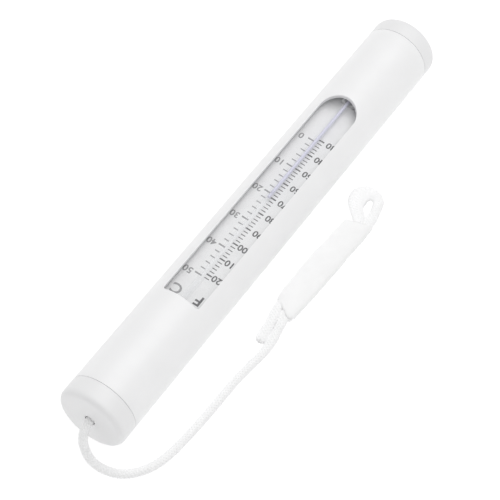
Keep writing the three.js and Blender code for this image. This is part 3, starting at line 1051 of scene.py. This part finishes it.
def make_sleeve(material):
    """A soft tube over both strands, cut on a slant at both ends, with a rolled lip at each mouth."""
    along = SLEEVE_END - SLEEVE_START
    side = Vector((0, 0, 1)).cross(along).normalized()
    bm = bmesh.new()

    def ring(t, section):
        slant = TAIL_END_SLANT + (-EYE_END_SLANT - TAIL_END_SLANT) * t
        made = []
        for k in range(SLEEVE_SIDES):
            across, up = sleeve_section(2 * math.pi * k / SLEEVE_SIDES, *section)
            flap = max(0.0, -across / HALF_WIDTH - FLAP_START)
            reach = slant * min(1.0, across / HALF_WIDTH)
            reach += FLAP_ROUNDING * math.exp(-t * FLAP_FADE) * flap ** 2
            centre = SLEEVE_START + along * t + along.normalized() * reach
            made.append(bm.verts.new(centre + side * across + Vector((0, 0, up))))
        return made

    def lip_ring(t):
        outside = sleeve_outside(t)
        inside = sleeve_inside(t)
        return ring(t, [(a + b) / 2 for a, b in zip(outside[:3], inside[:3])] + [inside[3]])

    shares = [i / SLEEVE_ROWS for i in range(SLEEVE_ROWS + 1)]
    rings = [ring(t, sleeve_outside(t)) for t in shares]
    rings.append(lip_ring(1 + SLEEVE_LIP / along.length))
    rings += [ring(t, sleeve_inside(t)) for t in reversed(shares)]
    rings.append(lip_ring(-SLEEVE_LIP / along.length))
    bridge_all(bm, rings + [rings[0]])
    return link("cord_sleeve", bm, material)


# Stage

FLOOR_COLOUR = (0.5, 0.5, 0.5)
FLOOR_GLOW = 0.66
FLOOR_HALF_SIZE = 3.0
FLOOR_GAP = 0.0001
WORLD_STRENGTH = 0.58
KEY_PLACE = Vector((0.3, 0.0, 1.25))
KEY_AIM = Vector((0, 0, 0))
KEY_SIZE = 1.4
KEY_POWER = 8.6

# Light passes the liner's wall and the hollow glass on its way down to the card and again on its way back
CLEAR_SURFACES_DEEP = 24


def make_floor():
    """A wide pale floor that glows a little, so that it stays near white."""
    material, _, shader = new_material("pale_floor", FLOOR_COLOUR, 0.9)
    shader.inputs["Specular IOR Level"].default_value = 0.0
    shader.inputs["Emission Color"].default_value = (1, 1, 1, 1)
    shader.inputs["Emission Strength"].default_value = FLOOR_GLOW
    bm = bmesh.new()
    bmesh.ops.create_grid(bm, x_segments=8, y_segments=8, size=FLOOR_HALF_SIZE)
    floor = link("floor", bm, material)
    floor.location.z = cad_low.z - FLOOR_GAP


def make_key_light():
    """A large soft light overhead, towards the bulb end."""
    data = bpy.data.lights.new("key", "AREA")
    data.shape = "DISK"
    data.size = KEY_SIZE
    data.energy = KEY_POWER
    light = bpy.data.objects.new("key", data)
    light.location = KEY_PLACE
    light.rotation_mode = "QUATERNION"
    light.rotation_quaternion = (KEY_AIM - KEY_PLACE).to_track_quat("-Z", "Y")
    bpy.context.scene.collection.objects.link(light)


def make_light():
    """The soft white surroundings, the key light, and the two scene settings that the look depends on."""
    world = bpy.data.worlds.new("studio")
    world.use_nodes = True
    background = world.node_tree.nodes["Background"]
    background.inputs["Color"].default_value = (1, 1, 1, 1)
    background.inputs["Strength"].default_value = WORLD_STRENGTH
    bpy.context.scene.world = world
    make_key_light()
    bpy.context.scene.view_settings.view_transform = "Standard"
    bpy.context.scene.cycles.transparent_max_bounces = CLEAR_SURFACES_DEEP


# The whole thermometer


def place(piece, body, slot, *nodes):
    """Says which body a piece rides on and which CAD nodes it stands in for. Its slot is not used."""
    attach(piece, body)
    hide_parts(*nodes)


make_camera()

cord, cord_line = make_cord(cord_fibre())
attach(cord, "cord_cap")
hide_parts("cord")

sleeve = make_sleeve(woven_sleeve())
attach(sleeve, "cord_cap")
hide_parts("loop_sleeve")

casing_plastic = moulded_plastic("white_casing_plastic", (0.905, 0.905, 0.91), (0.885, 0.885, 0.89), 0.36)
# The caps are the casing's white plastic, made darker: painted shade for the cap faces, which turn away from
# the key light
cap_plastic_painted_shade = moulded_plastic("white_cap_plastic_painted_shade", (0.85, 0.85, 0.855), (0.83, 0.83, 0.835), 0.40)
inner_plastic = moulded_plastic("natural_inner_plastic", (0.72, 0.72, 0.72), (0.66, 0.66, 0.66), 0.5)
liner_plastic = clear_plastic("clear_liner_plastic", (0.95, 0.96, 0.97), 0.07, 0.06)
glass = clear_plastic("thermometer_glass", (0.93, 0.95, 0.98), 0.06, 0.04)
spirit = spirit_fill()

place(make_casing(casing_plastic), "casing", "white_casing", "casing_tube")
place(make_cap("cord_cap_shell", cord_cap_low.x, 1, CORD_HOLE_RADIUS, cap_plastic_painted_shade),
      "cord_cap", "white_casing", "cord_end_cap")
place(make_cap("bulb_cap_shell", bulb_cap_high.x, -1, 0, cap_plastic_painted_shade),
      "bulb_cap", "white_casing", "bulb_end_cap")
place(make_liner(liner_plastic), "casing", "clear_plastic", "clear_liner")
place(make_plate(printed_card()), "casing", "printed_plate", "scale_plate")
place(make_glass(glass), "casing", "glass", "glass_stem")
place(make_bulb_fill(spirit), "casing", "blue_spirit", "spirit_bulb_fill")
place(make_meniscus(spirit), "meniscus", "blue_spirit", "spirit_meniscus")

for printed in (
    make_fahrenheit(printing_ink("dark_scale_ink", (0.035, 0.035, 0.04), (0.07, 0.07, 0.075))),
    make_celsius(printing_ink("grey_scale_ink", (0.24, 0.24, 0.245), (0.33, 0.33, 0.335))),
):
    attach(printed, "casing")

column = make_column(spirit)
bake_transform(column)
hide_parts("spirit_column")

for nodes, material in (
    (("cord_end_plug", "bulb_end_plug", "cord_end_holder", "bulb_end_holder"), inner_plastic),
    (("cord_end_seal_ring", "bulb_end_seal_ring"), seal_rubber()),
    (("ballast_slug",), brushed_metal("ballast_zinc", (0.48, 0.49, 0.50), 0.45)),
    (("cord_washer",), brushed_metal("washer_steel", (0.62, 0.63, 0.64), 0.32)),
    (("cord_stop_knot",), cord.data.materials[0]),
):
    for name in nodes:
        for material_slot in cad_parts[name].material_slots:
            material_slot.material = material

make_floor()
make_light()
